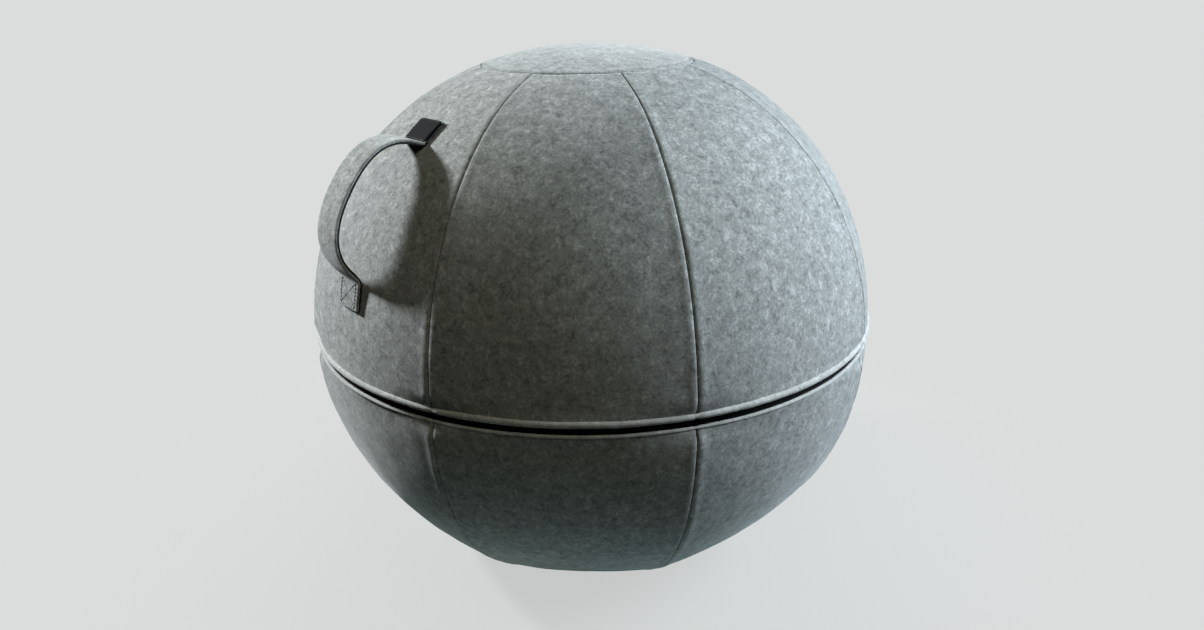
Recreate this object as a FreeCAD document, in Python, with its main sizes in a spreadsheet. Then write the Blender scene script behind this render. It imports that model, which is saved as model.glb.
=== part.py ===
"""Balance ball chair: an inflated ball inside a zipped felt cover with a carrying handle.

Millimetres. The floor is z = 0, the ball's upright axis is Z, the handle faces -Y and the cover
hinges open at +Y. Every piece is drawn about the middle of the zip (the belt) and then lifted
to the belt's height.
"""
import FreeCAD, Part
import math
import os

import Sketcher
from FreeCAD import Placement, Rotation, Vector

DRIVING_SIZES = {
    # felt cover
    "half_width": 325.0,        # outside radius at the belt
    "belt_height": 278.0,       # floor to the middle of the zip
    "crown_height": 313.0,      # belt to the top of the cover
    "floor_cut": 23.0,          # how far below the floor the rounded underside would close
    "fullness": 0.59,           # pole tension of the profile: 0.552 is an ellipse, more is squarer
    "felt": 3.0,                # felt thickness
    "panels": 8,                # upright panels in each half of the cover
    "seam_gap": 1.0,            # between neighbouring felt edges
    "seam_round": 1.0,          # rounding of the felt at a seam
    "crown_disc_radius": 119.0,  # seam of the round panel on top
    "thread": 0.8,              # seam thread
    "thread_depth": 1.2,        # felt surface to the thread in a seam
    # lips of the cover either side of the zip
    "lip": 3.6,                 # middle of the zip to either felt edge
    "hem_radius": 3.6,          # rolled hem of the upper half
    "hem_proud": 0.4,           # centre of the rolled hem outside the felt surface
    "edge_bead": 1.9,           # turned edge of the lower half
    # zip
    "tape_inset": 0.6,          # felt to tape
    "tape": 0.8,                # tape thickness
    "tape_reach": 16.0,         # middle of the zip to the tape's far edge
    "tape_gap": 0.8,            # middle of the zip to the tape's near edge
    "coil_gap": 0.6,            # middle of the zip to the coil
    "coil_height": 1.6,
    "coil_depth": 1.8,
    "coil_stand": 0.2,          # tape to coil
    "slip": 0.4,                # slider to what it slides past
    "slider_span": 2.5,         # degrees round the zip
    "slider_plate": 1.4,
    "slider_flange": 0.6,
    "wedge_span": 0.5,          # degrees, the post that joins the slider's plates
    "wedge": 0.8,
    "lug": 1.2,                 # lugs that hold the pull's bar
    "lug_width": 2.4,
    "bail_bar": 0.6,            # radius of the bar that the pull turns on
    "bail_stand": 2.2,          # slider face to the middle of that bar
    "bail_play": 0.2,
    "pull_length": 30.0,
    "pull_width": 7.0,
    "pull_neck": 3.6,
    "pull_plate": 1.5,
    "bridge_angle": 16.0,       # degrees of felt left unzipped at the back, the cover's hinge
    "bridge": 1.0,              # thickness of the strip behind it
    "stop_angle": 8.75,         # hinge line to the stop at each end of the zip
    "stop_span": 0.7,
    "lower_chain_angle": 9.3,   # hinge line to the end of the lower half of the zip
    "slider_angle": 10.7,       # hinge line to the parked slider
    "upper_chain_angle": 13.5,  # hinge line to the end of the upper half of the zip
    # ball
    "belt_clearance": 4.0,      # cover to ball at the belt, where the zip runs
    "seat_clearance": 0.3,      # ball to what it lies on
    "ball_wall": 1.5,
    "round_fullness": 0.5523,   # pole tension of the ball's rounder underside
    # valve
    "valve_height": 100.0,      # above the belt
    "valve_neck_radius": 11.9,
    "valve_hole_radius": 12.0,
    "valve_flange_radius": 16.0,
    "valve_flange": 1.5,
    "valve_set_in": 0.4,        # valve face below the ball's surface
    "valve_boss_radius": 8.0,
    "valve_boss_length": 16.0,
    "valve_bore": 4.0,
    "plug_play": 0.05,
    "plug_head_radius": 9.0,
    "plug_head": 1.6,
    "plug_length": 14.0,
    # base
    "ring_inset": 6.5,          # base panel's seam to the middle of the stabilising ring
    "ring_tube": 10.0,          # its outside section radius
    "ring_sleeve": 1.2,         # its fabric
    # handle
    "handle_top": 233.0,        # upper end of the loop, above the belt
    "loop_chord": 147.0,        # straight line from there to its lower end
    "strap_width": 40.0,
    "strap_felt": 2.6,
    "strap_lining": 2.2,
    "ply_gap": 0.1,             # felt to lining, and each sewn layer to the next
    "loop_rise": 52.0,          # chord between the ends to the middle of the strap
    "loop_fullness": 0.65,
    "loop_lean": 4.0,           # how far the strap leans in as it leaves the cover
    "root_rise": 24.0,          # sewn-down part of the loop that twists, above the chord
    "end_length": 31.0,         # strap sewn flat beyond each end of the loop
    "stitch_inset": 5.0,
    "stitch": 0.8,
    "stitch_rise": 0.4,
    "label_length": 29.0,       # from the strap's far end
    "label_inset": 2.0,         # label edge to its stitching
    "label": 0.8,
}

HANDLE_SIDE = -90.0   # compass direction of the handle, in degrees about Z
HINGE_SIDE = 90.0     # of the unzipped felt at the back
FAR = 60.0            # how far cutting shapes run past what they cut

doc = FreeCAD.newDocument("balance_ball_chair")
sheet = doc.addObject("Spreadsheet::Sheet", "Sizes")
for row, (alias, number) in enumerate(DRIVING_SIZES.items(), 1):
    sheet.set(f"A{row}", alias)
    sheet.set(f"B{row}", str(number))
    sheet.setAlias(f"B{row}", alias)
doc.recompute()
nodes = {}


def size(alias):
    return float(sheet.get(alias))


def measure(expression):
    """Value of an expression on the sheet, such as 'half_width - felt'."""
    number = sheet.evalExpression(str(expression))
    return float(getattr(number, "Value", number))


def bound(expression):
    """The same expression as another object has to write it."""
    text, word = "", ""
    for letter in str(expression) + " ":
        if letter.isalnum() or letter in "_.":
            word += letter
            continue
        text += f"Sizes.{word}" if word in DRIVING_SIZES else word
        text += letter
        word = ""
    return text.strip()


# Drawing helpers
def new_body(name):
    body = doc.addObject("PartDesign::Body", name)
    body.AllowCompound = True
    return body


def new_sketch(body, name, plane="XZ_Plane"):
    sketch = body.newObject("Sketcher::SketchObject", name)
    for feature in body.Origin.OriginFeatures:
        if feature.Role == plane:
            sketch.AttachmentSupport = [(feature, "")]
    sketch.MapMode = "FlatFace"
    return sketch


def fix_point(sketch, geometry, corner, point):
    """Holds a sketch point at a pair of expressions from the origin."""
    for kind, expression in zip(("DistanceX", "DistanceY"), point):
        distance = measure(expression)
        index = sketch.addConstraint(
            Sketcher.Constraint(kind, -1, 1, geometry, corner, distance))
        sketch.setExpression(f"Constraints[{index}]", bound(expression))


def closed_outline(sketch, runs):
    """Closed outline of runs. A run is the two ends of a line or the four poles of a curve."""
    made = []
    for run in runs:
        points = [Vector(measure(x), measure(y), 0) for x, y in run]
        if len(run) == 2:
            made.append(sketch.addGeometry(Part.LineSegment(*points), False))
            continue
        curve = Part.BSplineCurve(points, None, None, False, 3, None, False)
        made.append(sketch.addGeometry(curve, False))
    for index, run in enumerate(runs):
        before = (index - 1) % len(runs)
        if len(run) == 2:
            if len(runs[before]) == 2:
                fix_point(sketch, made[index], 1, run[0])
            continue
        first = None
        for pole, point in enumerate(run):
            ring = sketch.addGeometry(
                Part.Circle(Vector(measure(point[0]), measure(point[1]), 0), Vector(0, 0, 1), 1), True)
            weight = Sketcher.Constraint("Weight", ring, 1.0)
            if first is not None:
                weight = Sketcher.Constraint("Equal", first, ring)
            first = ring if first is None else first
            sketch.addConstraint(weight)
            sketch.addConstraint(Sketcher.Constraint(
                "InternalAlignment:Sketcher::BSplineControlPoint", ring, 3, made[index], pole))
            if pole == 0 and len(runs[before]) == 4:
                continue
            fix_point(sketch, ring, 3, point)
    for index in range(len(runs)):
        after = (index + 1) % len(runs)
        sketch.addConstraint(Sketcher.Constraint("Coincident", made[index], 2, made[after], 1))


def polygon(points):
    return [(points[i], points[(i + 1) % len(points)]) for i in range(len(points))]


def rectangle(x_low, y_low, x_high, y_high):
    return polygon([(x_low, y_low), (x_high, y_low), (x_high, y_high), (x_low, y_high)])


def circle(sketch, x, y, radius):
    centre = Vector(measure(x), measure(y), 0)
    ring = sketch.addGeometry(Part.Circle(centre, Vector(0, 0, 1), measure(radius)), False)
    fix_point(sketch, ring, 3, (x, y))
    index = sketch.addConstraint(Sketcher.Constraint("Radius", ring, measure(radius)))
    sketch.setExpression(f"Constraints[{index}]", bound(radius))


def turned(body, name, angle, draw, cut=False):
    """Adds or cuts a section turned about Z, centred on +X."""
    sketch = new_sketch(body, name + "_section")
    draw(sketch)
    kind = "PartDesign::Groove" if cut else "PartDesign::Revolution"
    feature = body.newObject(kind, name)
    feature.Profile = sketch
    feature.ReferenceAxis = (sketch, ["V_Axis"])
    feature.Midplane = True
    feature.Angle = measure(angle)
    if not isinstance(angle, (int, float)):
        feature.setExpression("Angle", bound(angle))
    doc.recompute()
    return feature


def padded(body, name, length, draw, plane="XZ_Plane"):
    sketch = new_sketch(body, name + "_outline", plane)
    draw(sketch)
    feature = body.newObject("PartDesign::Pad", name)
    feature.Profile = sketch
    feature.Midplane = True
    feature.Length = measure(length)
    feature.setExpression("Length", bound(length))
    doc.recompute()
    return feature


def cut_through(body, name, draw, plane):
    sketch = new_sketch(body, name + "_outline", plane)
    draw(sketch)
    feature = body.newObject("PartDesign::Pocket", name)
    feature.Profile = sketch
    feature.Type = "ThroughAll"
    feature.Midplane = True
    doc.recompute()
    return feature


def keep(name, piece, turn=0.0):
    """Names a finished piece, turns it about Z and lifts it to the belt's height."""
    piece.Label = name
    piece.Placement = Placement(Vector(0, 0, size("belt_height")), Rotation(Vector(0, 0, 1), turn))
    piece.setExpression("Placement.Base.z", "Sizes.belt_height")
    nodes[name] = piece
    return piece


def keep_where_it_is(name, piece):
    piece.Label = name
    nodes[name] = piece
    return piece


# The cover's rounded profile
def quarter(half_width, height, tension):
    """Poles of a quarter of the profile, from the belt to the upright axis."""
    return [(half_width, "0"), (half_width, f"({tension}) * ({height})"),
            (f"({tension}) * ({half_width})", height), ("0", height)]


def shell_between(outer, inner, side=1):
    """Section between two offsets of the cover's outside, in the upper (1) or lower (-1) half."""
    height = "crown_height" if side > 0 else "under_depth"
    signed = "" if side > 0 else "-1 * "

    def curve(offset):
        return quarter(f"half_width + ({offset})", f"{signed}({height} + ({offset}))", "fullness")

    out, back = curve(outer), curve(inner)
    return [out, (out[3], back[3]), back[::-1], (back[0], out[0])]


def curve_point(poles, at):
    """Point of a cubic curve, with its direction."""
    first, second, third, last = [Vector(measure(x), measure(y), 0) for x, y in poles]
    rest = 1 - at
    point = first * rest**3 + second * (3 * rest**2 * at) + third * (3 * rest * at**2) + last * at**3
    along = (second - first) * rest**2 + (third - second) * (2 * rest * at) + (last - third) * at**2
    return point, along.normalize()


def where(poles, axis, target):
    """Point and direction where a quarter of a profile reaches a radius (axis 0) or height (1)."""
    low, high = 0.0, 1.0
    start = curve_point(poles, 0)[0][axis]
    rising = curve_point(poles, 1)[0][axis] > start
    for _ in range(60):
        middle = (low + high) / 2
        if (curve_point(poles, middle)[0][axis] < target) == rising:
            low = middle
        else:
            high = middle
    return curve_point(poles, low)


def cover_quarter(offset=0.0, side=1):
    return shell_between(str(offset), str(offset), side)[0]


# Felt panels
def round_seam_edges(body, before):
    """Rounds the outside of the felt along its two seams."""
    edges = []
    for number, edge in enumerate(before.Shape.Edges, 1):
        ends = [vertex.Point for vertex in edge.Vertexes]
        if len(ends) < 2 or abs(ends[0].z - ends[1].z) < size("felt") * 4:
            continue
        middle = edge.valueAt((edge.FirstParameter + edge.LastParameter) / 2)
        side = 1 if middle.z > 0 else -1
        skin = where(cover_quarter(0.0, side), 1, middle.z)[0]
        if math.hypot(middle.x, middle.y) > skin.x - size("felt") / 2:
            edges.append(f"Edge{number}")
    rounding = body.newObject("PartDesign::Fillet", body.Name + "_seam_round")
    rounding.Base = (before, edges)
    rounding.Radius = size("seam_round")
    rounding.setExpression("Radius", "Sizes.seam_round")
    doc.recompute()


def cut_seam_gaps(body):
    """Takes half a seam's gap off each side of a panel, parallel to the seam."""
    reach = ("felt * 6", "half_width + hem_radius * 4")
    turn = "(180 deg / panels)"

    def slabs(sketch):
        for hand in (1, -1):
            corners = []
            for along, inward in ((reach[0], "seam_gap / 2"), (reach[1], "seam_gap / 2"),
                                  (reach[1], "-5 * seam_gap"), (reach[0], "-5 * seam_gap")):
                corners.append((f"({along}) * cos{turn} + ({inward}) * sin{turn}",
                                f"{hand} * (({along}) * sin{turn} - ({inward}) * cos{turn})"))
            closed_outline(sketch, polygon(corners))

    cut_through(body, body.Name + "_seam_gaps", slabs, "XY_Plane")


def hemmed_panel(name, side, turn):
    """One upright felt panel with the turned edge that faces the zip."""
    body = new_body(name)
    span = "360 / panels"
    height = "crown_height" if side > 0 else "under_depth"
    turned(body, name + "_felt", span, lambda sketch: closed_outline(
        sketch, shell_between("0", "-1 * felt", side)))

    edge_radius = "hem_radius" if side > 0 else "edge_bead"
    edge_middle = f"{side} * (lip + {edge_radius})"
    inner_end = "crown_disc_radius" if side > 0 else "base_disc_radius"

    def away(sketch):
        low, high = sorted((edge_middle, f"{-side} * felt"), key=measure)
        closed_outline(sketch, rectangle("half_width * 0.9", low, "half_width * 1.1", high))
        low, high = sorted((f"{side} * {height} * 0.5", f"{side} * {height} * 1.1"), key=measure)
        closed_outline(sketch, rectangle("0", low, f"{inner_end} + seam_gap / 2", high))

    turned(body, name + "_open_ends", 360, away, cut=True)
    edge_out = "hem_proud" if side > 0 else "0.3 - felt / 2 + hem_proud / 2"
    turned(body, name + "_turned_edge", span, lambda sketch: circle(
        sketch, f"half_width + {edge_out}", edge_middle, edge_radius))
    cut_seam_gaps(body)
    round_seam_edges(body, body.Tip)
    return keep(name, body, turn)


def meridian_threads(name, side):
    """Thread in the upright seams of one half of the cover."""
    body = new_body(name)
    depth = "thread_depth"
    padded(body, name + "_line", "thread", lambda sketch: closed_outline(
        sketch, shell_between(f"thread / 2 - {depth}", f"-1 * thread / 2 - {depth}", side)))
    inner_end = "crown_disc_radius" if side > 0 else "base_disc_radius"
    height = "crown_height" if side > 0 else "under_depth"
    edge = f"{side} * (lip + 2 * " + ("hem_radius" if side > 0 else "edge_bead") + " + thread)"

    def ends(sketch):
        low, high = sorted((edge, f"{-side} * felt"), key=measure)
        closed_outline(sketch, rectangle("half_width * 0.9", low, "half_width * 1.1", high))
        low, high = sorted((f"{side} * {height} * 0.5", f"{side} * {height} * 1.1"), key=measure)
        closed_outline(sketch, rectangle("0", low, f"{inner_end} + seam_gap + thread", high))

    cut = cut_through(body, name + "_ends", ends, "XZ_Plane")
    pattern = body.newObject("PartDesign::PolarPattern", name + "_round")
    pattern.Originals = [body.getObject(name + "_line"), cut]
    for feature in body.Origin.OriginFeatures:
        if feature.Role == "Z_Axis":
            pattern.Axis = (feature, [""])
    pattern.Angle = 360
    pattern.Occurrences = int(size("panels"))
    pattern.setExpression("Occurrences", "Sizes.panels")
    body.Tip = pattern
    doc.recompute()
    return keep(name, body, HANDLE_SIDE + 180 / size("panels"))


def further_along(start_height, distance, direction):
    """Height of the point of the profile a straight distance up (1) or down (-1) from another."""
    start = where(cover_quarter(), 1, start_height)[0]
    low, high = 0.0, distance
    for _ in range(60):
        middle = (low + high) / 2
        there = where(cover_quarter(), 1, start_height + direction * middle)[0]
        if there.sub(start).Length < distance:
            low = middle
        else:
            high = middle
    return start_height + direction * low


def note(alias, number):
    """Adds a size that follows from the others to the sheet."""
    DRIVING_SIZES[alias] = number
    row = len(DRIVING_SIZES)
    sheet.set(f"A{row}", alias)
    sheet.set(f"B{row}", str(round(number, 4)))
    sheet.setAlias(f"B{row}", alias)
    doc.recompute()


# Sizes that follow from the others
note("under_depth", size("belt_height") + size("floor_cut"))
note("base_disc_radius", where(cover_quarter(0, -1), 1, -size("belt_height"))[0].x)
note("ring_radius", size("base_disc_radius") - size("ring_inset"))
note("crown_seam_height", where(cover_quarter(), 0, size("crown_disc_radius"))[0].y)
note("ball_half_width", size("half_width") - size("felt") - size("belt_clearance"))
note("ball_rise", size("crown_height") - size("felt") - size("seat_clearance"))
note("ball_drop", size("belt_height") - size("felt") - size("seat_clearance"))
note("handle_foot", further_along(size("handle_top"), size("loop_chord"), -1))

# Cover: eight upright panels above the zip and eight below it
for number in range(int(size("panels"))):
    turn = HANDLE_SIDE + number * 360 / size("panels")
    hemmed_panel(f"upper_panel_{number + 1}", 1, turn)
    hemmed_panel(f"lower_panel_{number + 1}", -1, turn)
meridian_threads("upper_seam_threads", 1)
meridian_threads("lower_seam_threads", -1)


def band(name, angle, section, turn=0.0):
    """A piece turned about Z from one section, round all or part of the cover."""
    body = new_body(name)
    turned(body, name + "_band", angle, section)
    return keep(name, body, turn)


# Round panels on the crown and under the ball, each with its sewn ring of thread
crown_disc = new_body("top_disc")
turned(crown_disc, "top_disc_felt", 360, lambda sketch: closed_outline(
    sketch, shell_between("0", "-1 * felt")))
turned(crown_disc, "top_disc_edge", 360, lambda sketch: closed_outline(
    sketch, rectangle("crown_disc_radius - seam_gap / 2", "-1 * felt",
                      "half_width * 1.1", "crown_height * 1.1")), cut=True)
keep("top_disc", crown_disc)

under_disc = "base_disc_radius - seam_gap / 2"
band("base_disc", 360, lambda sketch: closed_outline(sketch, rectangle(
    "0", "-1 * belt_height", under_disc, "felt - belt_height")))

band("disc_seam_thread", 360, lambda sketch: circle(
    sketch, "crown_disc_radius", "crown_seam_height - thread_depth", "thread / 2"))
band("base_seam_thread", 360, lambda sketch: circle(
    sketch, "base_disc_radius", "thread_depth - belt_height", "thread / 2"))

# Zip: tapes, coils, end stops and the strip behind the unzipped length
TAPE_OUT = "half_width - felt - tape_inset"
TAPE_IN = f"{TAPE_OUT} - tape"
COIL_IN = f"{TAPE_OUT} + coil_stand"
COIL_OUT = f"{COIL_IN} + coil_depth"


def mirrored_rectangle(side, x_low, near, x_high, far):
    low, high = sorted((f"{side} * ({near})", f"{side} * ({far})"), key=measure)
    return rectangle(x_low, low, x_high, high)


for half, side, lead in (("upper", 1, "0"), ("lower", -1, "stop_span * 1.5")):
    chain = f"360 - 2 * {half}_chain_angle"
    band(f"{half}_zip_tape", f"{chain} + 2 * ({lead})", lambda sketch: closed_outline(
        sketch, mirrored_rectangle(side, TAPE_IN, "tape_gap", TAPE_OUT, "tape_reach")), HANDLE_SIDE)
    band(f"{half}_zip_coil", chain, lambda sketch: closed_outline(
        sketch, mirrored_rectangle(side, COIL_IN, "coil_gap", COIL_OUT, "coil_gap + coil_height")),
        HANDLE_SIDE)

stops = []
for hand in (1, -1):
    stop = new_body("zip_stop_right" if hand > 0 else "zip_stop_left")
    turned(stop, stop.Name + "_block", "stop_span", lambda sketch: closed_outline(
        sketch, rectangle(f"{TAPE_OUT} + coil_stand / 4", "-1 * coil_gap - coil_height - slip",
                          f"{COIL_OUT} + coil_stand", "-1 * coil_gap / 2")))
    stop.Placement = Placement(Vector(0, 0, 0), Rotation(
        Vector(0, 0, 1), HINGE_SIDE + hand * size("stop_angle")))
    stops.append(stop)
stop_pair = doc.addObject("Part::Compound", "zip_stops")
stop_pair.Links = stops
doc.recompute()
keep("zip_stops", stop_pair)

band("hinge_bridge", "bridge_angle", lambda sketch: closed_outline(
    sketch, rectangle(TAPE_IN, "-1 * tape_reach", f"{TAPE_IN} + bridge", "tape_reach")), HINGE_SIDE)

# Slider: two plates that straddle the coils, joined by a wedge, with lugs for the pull
PLATE_IN = f"{COIL_OUT} + slip"
PLATE_OUT = f"{PLATE_IN} + slider_plate"
FLANGE_NEAR = "coil_gap + coil_height + slip"
PLATE_HALF = f"{FLANGE_NEAR} + slider_flange"
BAR = f"{PLATE_OUT} + bail_stand"
slider = new_body("zip_slider")
turned(slider, "wedge_post", "wedge_span", lambda sketch: closed_outline(sketch, rectangle(
    f"{TAPE_IN} - slip - slider_plate / 2", "-1 * wedge / 2", f"{PLATE_IN} + slider_plate / 2", "wedge / 2")))
turned(slider, "inner_plate", "slider_span", lambda sketch: closed_outline(sketch, rectangle(
    f"{TAPE_IN} - slip - slider_plate", f"-1 * ({PLATE_HALF})", f"{TAPE_IN} - slip", PLATE_HALF)))
turned(slider, "outer_plate", "slider_span", lambda sketch: closed_outline(sketch, polygon([
    (f"{TAPE_OUT} + slip", f"-1 * ({PLATE_HALF})"), (PLATE_OUT, f"-1 * ({PLATE_HALF})"),
    (PLATE_OUT, PLATE_HALF), (f"{TAPE_OUT} + slip", PLATE_HALF),
    (f"{TAPE_OUT} + slip", FLANGE_NEAR), (PLATE_IN, FLANGE_NEAR),
    (PLATE_IN, f"-1 * ({FLANGE_NEAR})"), (f"{TAPE_OUT} + slip", f"-1 * ({FLANGE_NEAR})")])))
LUG_NEAR = "pull_neck / 2 + bail_play"


def lugs(sketch):
    for side in (1, -1):
        closed_outline(sketch, mirrored_rectangle(
            side, f"{PLATE_OUT} - slider_plate / 2", LUG_NEAR, f"{BAR} + lug", f"{LUG_NEAR} + lug"))


padded(slider, "lugs", "lug_width", lugs)
padded(slider, "bail_bar", f"2 * ({LUG_NEAR}) + lug", lambda sketch: circle(
    sketch, BAR, "0", "bail_bar"), plane="XY_Plane")
keep("zip_slider", slider, HINGE_SIDE - size("slider_angle"))

# Pull: a flat tab with a knuckle on the slider's bar
pull = new_body("zip_pull")
KNUCKLE = "bail_bar + bail_play + pull_plate / 2"


def pull_plate_outline(start, end):
    return lambda sketch: closed_outline(sketch, rectangle(
        f"{BAR} - pull_plate / 2", f"-1 * ({end})", f"{BAR} + pull_plate / 2", f"-1 * ({start})"))


padded(pull, "knuckle", "pull_neck", lambda sketch: circle(sketch, BAR, "0", KNUCKLE), plane="XY_Plane")
padded(pull, "neck", "pull_neck", pull_plate_outline("0", "lug * 3"), plane="XY_Plane")
cut_through(pull, "eye", lambda sketch: circle(sketch, BAR, "0", "bail_bar + bail_play"), "XY_Plane")
padded(pull, "tab", "pull_width", pull_plate_outline("lug * 2.5", "pull_length"), plane="XY_Plane")
keep("zip_pull", pull, HINGE_SIDE - size("slider_angle"))

# Inflated ball, with a hole for its valve
def ball_quarter(side, offset="0"):
    height = "ball_rise" if side > 0 else "-1 * ball_drop"
    tension = "fullness" if side > 0 else "round_fullness"
    return quarter(f"ball_half_width - {offset}", f"{height} - {side} * {offset}", tension)


ball_skin = new_body("ball_skin")
over, under = ball_quarter(1), ball_quarter(-1)
over_wall, under_wall = ball_quarter(1, "ball_wall"), ball_quarter(-1, "ball_wall")
turned(ball_skin, "ball_wall", 360, lambda sketch: closed_outline(sketch, [
    under[::-1], over, (over[3], over_wall[3]), over_wall[::-1], under_wall, (under_wall[3], under[3])]))


def facing(point, along, towards_handle=1):
    """Frame on the handle's side: x along the profile, y straight out of it, z across."""
    turn = math.radians(HANDLE_SIDE)

    def lift(radial, upward):
        return Vector(radial * math.cos(turn), radial * math.sin(turn), upward)

    out = Vector(abs(along.y), -along.x * (1 if along.y > 0 else -1), 0)
    axis_x, axis_y = lift(along.x, along.y), lift(out.x, out.y)
    place = lift(point.x, point.y + size("belt_height"))
    return Placement(place, Rotation(axis_x, axis_y, axis_x.cross(axis_y), "XYZ"))


valve_point, valve_along = where(ball_quarter(1), 1, size("valve_height"))
VALVE_FRAME = facing(valve_point, valve_along)


def round_bar(name, radius, bottom, top, frame=None):
    """Cylinder whose axis is the frame's y."""
    bar = doc.addObject("Part::Cylinder", name)
    bar.setExpression("Radius", bound(radius))
    bar.setExpression("Height", bound(f"({top}) - ({bottom})"))
    low = Placement(Vector(0, measure(bottom), 0), Rotation(Vector(1, 0, 0), -90))
    bar.Placement = (frame or VALVE_FRAME).multiply(low)
    return bar


def fused(name, pieces):
    union = doc.addObject("Part::MultiFuse", name)
    union.Shapes = pieces
    union.Refine = True
    doc.recompute()
    return union


def minus(name, base, tool):
    cut = doc.addObject("Part::Cut", name)
    cut.Base = base
    cut.Tool = tool
    doc.recompute()
    return cut


ball_skin.Placement = Placement(Vector(0, 0, size("belt_height")), Rotation())
valve_hole = round_bar("valve_hole", "valve_hole_radius", "-10 * ball_wall", "10 * ball_wall")
keep_where_it_is("ball", minus("ball", ball_skin, valve_hole))

FLANGE_TOP = "-1 * ball_wall - valve_set_in * 1.5"
seat_body = fused("valve_seat_body", [
    round_bar("valve_neck", "valve_neck_radius", "-1 * ball_wall - valve_flange", "-1 * valve_set_in"),
    round_bar("valve_flange", "valve_flange_radius", f"{FLANGE_TOP} - valve_flange", FLANGE_TOP),
    round_bar("valve_boss", "valve_boss_radius", "-1 * valve_boss_length", "-1 * ball_wall")])
seat_hollow = fused("valve_seat_hollow", [
    round_bar("valve_bore", "valve_bore", "-2 * valve_boss_length", "valve_boss_length"),
    round_bar("valve_counterbore", "plug_head_radius + plug_play",
              "-1 * valve_set_in - plug_head", "valve_boss_length")])
keep_where_it_is("valve_seat", minus("valve_seat", seat_body, seat_hollow))
keep_where_it_is("valve_plug", fused("valve_plug", [
    round_bar("plug_head", "plug_head_radius", "plug_play - valve_set_in - plug_head", "-1 * valve_set_in"),
    round_bar("plug_stem", "valve_bore - plug_play", "-1 * valve_set_in - plug_length",
              "-1 * valve_set_in - plug_head / 2")]))

# Stabilising ring that the ball stands in
RING_HEIGHT = "felt + seat_clearance + ring_tube - belt_height"
band("base_ring_core", 360, lambda sketch: circle(
    sketch, "ring_radius", RING_HEIGHT, "ring_tube - ring_sleeve - ply_gap"))


def sleeve_section(sketch):
    circle(sketch, "ring_radius", RING_HEIGHT, "ring_tube")
    circle(sketch, "ring_radius", RING_HEIGHT, "ring_tube - ring_sleeve")


band("base_ring_sleeve", 360, sleeve_section)


# Handle: a strap of felt lined with dark webbing, arched between two sewn-down ends
upper_end = where(cover_quarter(), 1, size("handle_top"))[0]
lower_end = where(cover_quarter(), 1, size("handle_foot"))[0]
down = lower_end.sub(upper_end).normalize()
LOOP_FRAMES = {"upper": facing(upper_end, down), "lower": facing(lower_end, down * -1)}
PATCH_FRAMES = {}
for end, start, direction in (("upper", "handle_top", 1), ("lower", "handle_foot", -1)):
    middle = further_along(size(start), size("end_length") / 2, direction)
    point, along = where(cover_quarter(), 1, middle)
    PATCH_FRAMES[end] = facing(point, along * -direction)

HALF_CHORD = "(loop_chord / 2)"
FELT_LAYER = ("ply_gap / 2 + strap_felt", "ply_gap / 2")
LINING_LAYER = ("-1 * ply_gap / 2", "-1 * ply_gap / 2 - strap_lining")
LINING_PATCH = ("ply_gap", "ply_gap + strap_lining")
FELT_PATCH = ("2 * ply_gap + strap_lining", "2 * ply_gap + strap_lining + strap_felt")


def half_loop(offset):
    """Poles of half of the strap's arch, a distance outside its middle line."""
    return [(f"-1 * ({offset})", "0"),
            (f"loop_lean - ({offset})", "loop_fullness * loop_rise"),
            (f"{HALF_CHORD} - loop_fullness * ({HALF_CHORD} + {offset})", f"loop_rise + ({offset})"),
            (HALF_CHORD, f"loop_rise + ({offset})")]


def other_half(poles):
    return [(f"loop_chord - ({x})", y) for x, y in poles[::-1]]


def grip_layer(name, layer):
    body = new_body(name)
    outer, inner = half_loop(layer[0]), half_loop(layer[1])
    outer_far, inner_far = other_half(outer), other_half(inner)
    padded(body, name + "_strap", "strap_width", lambda sketch: closed_outline(sketch, [
        outer, outer_far, (outer_far[3], inner_far[3]), inner_far[::-1], inner[::-1],
        (inner[0], outer[0])]), plane="XY_Plane")
    cut_through(body, name + "_free_part", lambda sketch: closed_outline(sketch, rectangle(
        "-1 * loop_rise", "-1 * loop_rise", "loop_chord + loop_rise", "root_rise + ply_gap / 2")), "XY_Plane")
    body.Placement = LOOP_FRAMES["upper"]
    return keep_where_it_is(name, body)


def root_layer(name, layer, frame):
    body = new_body(name)
    outer, inner = half_loop(layer[0]), half_loop(layer[1])
    padded(body, name + "_strap", "strap_width", lambda sketch: closed_outline(sketch, [
        outer, (outer[3], inner[3]), inner[::-1], (inner[0], outer[0])]), plane="XY_Plane")
    cut_through(body, name + "_sewn_part", lambda sketch: closed_outline(sketch, rectangle(
        "-1 * loop_rise", "root_rise - ply_gap / 2", "loop_chord", "2 * loop_rise")), "XY_Plane")
    body.Placement = frame
    return body


def patch_layer(name, layer, reach, frame):
    body = new_body(name)
    padded(body, name + "_patch", "strap_width", lambda sketch: closed_outline(sketch, rectangle(
        "-1 * end_length / 2", layer[0], f"end_length / 2 + {reach}", layer[1])), plane="XY_Plane")
    body.Placement = frame
    return body


def solid_under(name, offset):
    """The rounded space under a surface outside the cover, to trim the strap's ends with."""
    body = new_body(name)
    poles = cover_quarter(offset)
    turned(body, name + "_turn", 360, lambda sketch: closed_outline(sketch, [
        poles, (poles[3], ("0", "0")), (("0", "0"), poles[0])]))
    body.Placement = Placement(Vector(0, 0, size("belt_height")), Rotation())
    return body


under_lining = solid_under("under_lining", "ply_gap / 2")
under_felt = solid_under("under_felt", "1.5 * ply_gap + strap_lining")

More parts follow.
